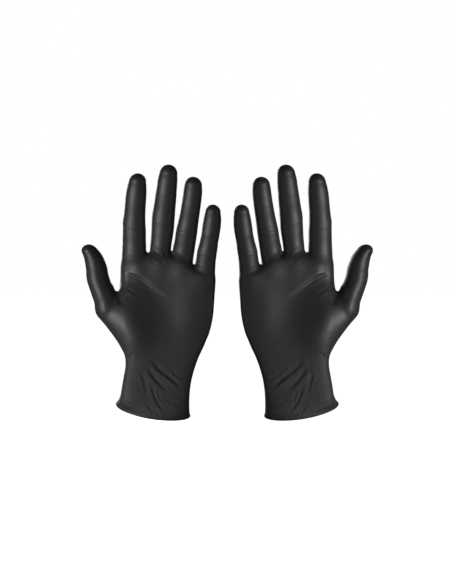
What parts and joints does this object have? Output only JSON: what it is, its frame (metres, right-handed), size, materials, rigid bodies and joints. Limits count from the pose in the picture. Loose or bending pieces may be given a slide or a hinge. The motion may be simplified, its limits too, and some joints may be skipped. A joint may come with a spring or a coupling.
{
  "type": "disposable glove pair",
  "caption": "Pair of disposable dipped-film gloves in worn shape, palms forward and fingers up, with short cuffs that end in a thin rolled bead.",
  "frame": {"origin": "centre of the left glove's cuff opening", "axes": "+X from the left glove to the right glove, +Z from the cuffs to the fingertips, palms face -Y"},
  "size_m": [0.2686, 0.0499, 0.2415],
  "materials": {
    "nitrile_film": "matte",
    "rolled_bead": "satin"
  },
  "bodies": {
    "left_cuff": {"left_cuff": "nitrile_film", "left_cuff_bead": "rolled_bead"},
    "left_palm": {"left_palm": "nitrile_film"},
    "left_thumb_base": {"left_thumb_base": "nitrile_film"},
    "left_thumb_tip": {"left_thumb_tip": "nitrile_film"},
    "left_index_base": {"left_index_base": "nitrile_film"},
    "left_index_middle": {"left_index_middle": "nitrile_film"},
    "left_index_tip": {"left_index_tip": "nitrile_film"},
    "left_middle_base": {"left_middle_base": "nitrile_film"},
    "left_middle_middle": {"left_middle_middle": "nitrile_film"},
    "left_middle_tip": {"left_middle_tip": "nitrile_film"},
    "left_ring_base": {"left_ring_base": "nitrile_film"},
    "left_ring_middle": {"left_ring_middle": "nitrile_film"},
    "left_ring_tip": {"left_ring_tip": "nitrile_film"},
    "left_little_base": {"left_little_base": "nitrile_film"},
    "left_little_middle": {"left_little_middle": "nitrile_film"},
    "left_little_tip": {"left_little_tip": "nitrile_film"},
    "right_cuff": {"right_cuff": "nitrile_film", "right_cuff_bead": "rolled_bead"},
    "right_palm": {"right_palm": "nitrile_film"},
    "right_thumb_base": {"right_thumb_base": "nitrile_film"},
    "right_thumb_tip": {"right_thumb_tip": "nitrile_film"},
    "right_index_base": {"right_index_base": "nitrile_film"},
    "right_index_middle": {"right_index_middle": "nitrile_film"},
    "right_index_tip": {"right_index_tip": "nitrile_film"},
    "right_middle_base": {"right_middle_base": "nitrile_film"},
    "right_middle_middle": {"right_middle_middle": "nitrile_film"},
    "right_middle_tip": {"right_middle_tip": "nitrile_film"},
    "right_ring_base": {"right_ring_base": "nitrile_film"},
    "right_ring_middle": {"right_ring_middle": "nitrile_film"},
    "right_ring_tip": {"right_ring_tip": "nitrile_film"},
    "right_little_base": {"right_little_base": "nitrile_film"},
    "right_little_middle": {"right_little_middle": "nitrile_film"},
    "right_little_tip": {"right_little_tip": "nitrile_film"}
  },
  "joints": [
    {"name": "right_glove_apart", "type": "slide", "parent": "left_cuff", "child": "right_cuff", "axis": [1, 0, 0], "range_m": [0, 0.09]},
    {"name": "left_wrist", "type": "hinge", "parent": "left_cuff", "child": "left_palm", "pos_m": [0.00774, 0, 0.045], "axis": [1, 0, 0], "range_deg": [-30, 35], "stiffness_Nm_per_rad": 0.06},
    {"name": "left_thumb_root", "type": "hinge", "parent": "left_palm", "child": "left_thumb_base", "pos_m": [-0.0422, -0.009, 0.101], "axis": [0.8644, 0.4226, 0.2725], "range_deg": [0, 35], "stiffness_Nm_per_rad": 0.012},
    {"name": "left_thumb_end", "type": "hinge", "parent": "left_thumb_base", "child": "left_thumb_tip", "pos_m": [-0.05108, -0.00998, 0.13068], "axis": [0.8644, 0.4226, 0.2725], "range_deg": [0, 50], "stiffness_Nm_per_rad": 0.006},
    {"name": "left_index_root", "type": "hinge", "parent": "left_palm", "child": "left_index_base", "pos_m": [-0.0178, 0, 0.146], "axis": [0.9986, 0, -0.0523], "range_deg": [0, 60], "stiffness_Nm_per_rad": 0.012},
    {"name": "left_index_middle", "type": "hinge", "parent": "left_index_base", "child": "left_index_middle", "pos_m": [-0.01641, -0.00093, 0.17255], "axis": [0.9986, 0, -0.0523], "range_deg": [0, 85], "stiffness_Nm_per_rad": 0.006},
    {"name": "left_index_end", "type": "hinge", "parent": "left_index_middle", "child": "left_index_tip", "pos_m": [-0.01511, -0.00354, 0.19738], "axis": [0.9986, 0, -0.0523], "range_deg": [0, 51], "stiffness_Nm_per_rad": 0.006},
    {"name": "left_middle_root", "type": "hinge", "parent": "left_palm", "child": "left_middle_base", "pos_m": [0.007, 0, 0.149], "axis": [0.9945, 0, -0.1045], "range_deg": [0, 60], "stiffness_Nm_per_rad": 0.012},
    {"name": "left_middle_middle", "type": "hinge", "parent": "left_middle_base", "child": "left_middle_middle", "pos_m": [0.00976, -0.00092, 0.17524], "axis": [0.9945, 0, -0.1045], "range_deg": [0, 85], "stiffness_Nm_per_rad": 0.006},
    {"name": "left_middle_end", "type": "hinge", "parent": "left_middle_middle", "child": "left_middle_tip", "pos_m": [0.01267, -0.00385, 0.20293], "axis": [0.9945, 0, -0.1045], "range_deg": [0, 51], "stiffness_Nm_per_rad": 0.006},
    {"name": "left_ring_root", "type": "hinge", "parent": "left_palm", "child": "left_ring_base", "pos_m": [0.0282, 0, 0.144], "axis": [0.9903, 0, -0.1392], "range_deg": [0, 60], "stiffness_Nm_per_rad": 0.012},
    {"name": "left_ring_middle", "type": "hinge", "parent": "left_ring_base", "child": "left_ring_middle", "pos_m": [0.03157, -0.00085, 0.16795], "axis": [0.9903, 0, -0.1392], "range_deg": [0, 85], "stiffness_Nm_per_rad": 0.006},
    {"name": "left_ring_end", "type": "hinge", "parent": "left_ring_middle", "child": "left_ring_tip", "pos_m": [0.03511, -0.00352, 0.19316], "axis": [0.9903, 0, -0.1392], "range_deg": [0, 51], "stiffness_Nm_per_rad": 0.006},
    {"name": "left_little_root", "type": "hinge", "parent": "left_palm", "child": "left_little_base", "pos_m": [0.0484, 0, 0.1315], "axis": [0.989, 0, -0.1478], "range_deg": [0, 60], "stiffness_Nm_per_rad": 0.012},
    {"name": "left_little_middle", "type": "hinge", "parent": "left_little_base", "child": "left_little_middle", "pos_m": [0.05103, -0.00062, 0.14909], "axis": [0.989, 0, -0.1478], "range_deg": [0, 70], "stiffness_Nm_per_rad": 0.006},
    {"name": "left_little_end", "type": "hinge", "parent": "left_little_middle", "child": "left_little_tip", "pos_m": [0.05368, -0.0025, 0.1668], "axis": [0.989, 0, -0.1478], "range_deg": [0, 42], "stiffness_Nm_per_rad": 0.006},
    {"name": "right_wrist", "type": "hinge", "parent": "right_cuff", "child": "right_palm", "pos_m": [0.13266, 0, 0.045], "axis": [1, 0, 0], "range_deg": [-30, 35], "stiffness_Nm_per_rad": 0.06},
    {"name": "right_thumb_root", "type": "hinge", "parent": "right_palm", "child": "right_thumb_base", "pos_m": [0.1826, -0.009, 0.101], "axis": [0.8644, -0.4226, -0.2725], "range_deg": [0, 35], "stiffness_Nm_per_rad": 0.012},
    {"name": "right_thumb_end", "type": "hinge", "parent": "right_thumb_base", "child": "right_thumb_tip", "pos_m": [0.19148, -0.00998, 0.13068], "axis": [0.8644, -0.4226, -0.2725], "range_deg": [0, 50], "stiffness_Nm_per_rad": 0.006},
    {"name": "right_index_root", "type": "hinge", "parent": "right_palm", "child": "right_index_base", "pos_m": [0.1582, 0, 0.146], "axis": [0.9986, 0, 0.0523], "range_deg": [0, 60], "stiffness_Nm_per_rad": 0.012},
    {"name": "right_index_middle", "type": "hinge", "parent": "right_index_base", "child": "right_index_middle", "pos_m": [0.15681, -0.00093, 0.17255], "axis": [0.9986, 0, 0.0523], "range_deg": [0, 85], "stiffness_Nm_per_rad": 0.006},
    {"name": "right_index_end", "type": "hinge", "parent": "right_index_middle", "child": "right_index_tip", "pos_m": [0.15551, -0.00354, 0.19738], "axis": [0.9986, 0, 0.0523], "range_deg": [0, 51], "stiffness_Nm_per_rad": 0.006},
    {"name": "right_middle_root", "type": "hinge", "parent": "right_palm", "child": "right_middle_base", "pos_m": [0.1334, 0, 0.149], "axis": [0.9945, 0, 0.1045], "range_deg": [0, 60], "stiffness_Nm_per_rad": 0.012},
    {"name": "right_middle_middle", "type": "hinge", "parent": "right_middle_base", "child": "right_middle_middle", "pos_m": [0.13064, -0.00092, 0.17524], "axis": [0.9945, 0, 0.1045], "range_deg": [0, 85], "stiffness_Nm_per_rad": 0.006},
    {"name": "right_middle_end", "type": "hinge", "parent": "right_middle_middle", "child": "right_middle_tip", "pos_m": [0.12773, -0.00385, 0.20293], "axis": [0.9945, 0, 0.1045], "range_deg": [0, 51], "stiffness_Nm_per_rad": 0.006},
    {"name": "right_ring_root", "type": "hinge", "parent": "right_palm", "child": "right_ring_base", "pos_m": [0.1122, 0, 0.144], "axis": [0.9903, 0, 0.1392], "range_deg": [0, 60], "stiffness_Nm_per_rad": 0.012},
    {"name": "right_ring_middle", "type": "hinge", "parent": "right_ring_base", "child": "right_ring_middle", "pos_m": [0.10883, -0.00085, 0.16795], "axis": [0.9903, 0, 0.1392], "range_deg": [0, 85], "stiffness_Nm_per_rad": 0.006},
    {"name": "right_ring_end", "type": "hinge", "parent": "right_ring_middle", "child": "right_ring_tip", "pos_m": [0.10529, -0.00352, 0.19316], "axis": [0.9903, 0, 0.1392], "range_deg": [0, 51], "stiffness_Nm_per_rad": 0.006},
    {"name": "right_little_root", "type": "hinge", "parent": "right_palm", "child": "right_little_base", "pos_m": [0.092, 0, 0.1315], "axis": [0.989, 0, 0.1478], "range_deg": [0, 60], "stiffness_Nm_per_rad": 0.012},
    {"name": "right_little_middle", "type": "hinge", "parent": "right_little_base", "child": "right_little_middle", "pos_m": [0.08937, -0.00062, 0.14909], "axis": [0.989, 0, 0.1478], "range_deg": [0, 70], "stiffness_Nm_per_rad": 0.006},
    {"name": "right_little_end", "type": "hinge", "parent": "right_little_middle", "child": "right_little_tip", "pos_m": [0.08672, -0.0025, 0.1668], "axis": [0.989, 0, 0.1478], "range_deg": [0, 42], "stiffness_Nm_per_rad": 0.006}
  ],
  "couplings": [
    {"joint": "left_index_end", "follows": "left_index_middle", "ratio": 0.6},
    {"joint": "left_middle_end", "follows": "left_middle_middle", "ratio": 0.6},
    {"joint": "left_ring_end", "follows": "left_ring_middle", "ratio": 0.6},
    {"joint": "left_little_end", "follows": "left_little_middle", "ratio": 0.6},
    {"joint": "right_index_end", "follows": "right_index_middle", "ratio": 0.6},
    {"joint": "right_middle_end", "follows": "right_middle_middle", "ratio": 0.6},
    {"joint": "right_ring_end", "follows": "right_ring_middle", "ratio": 0.6},
    {"joint": "right_little_end", "follows": "right_little_middle", "ratio": 0.6}
  ]
}
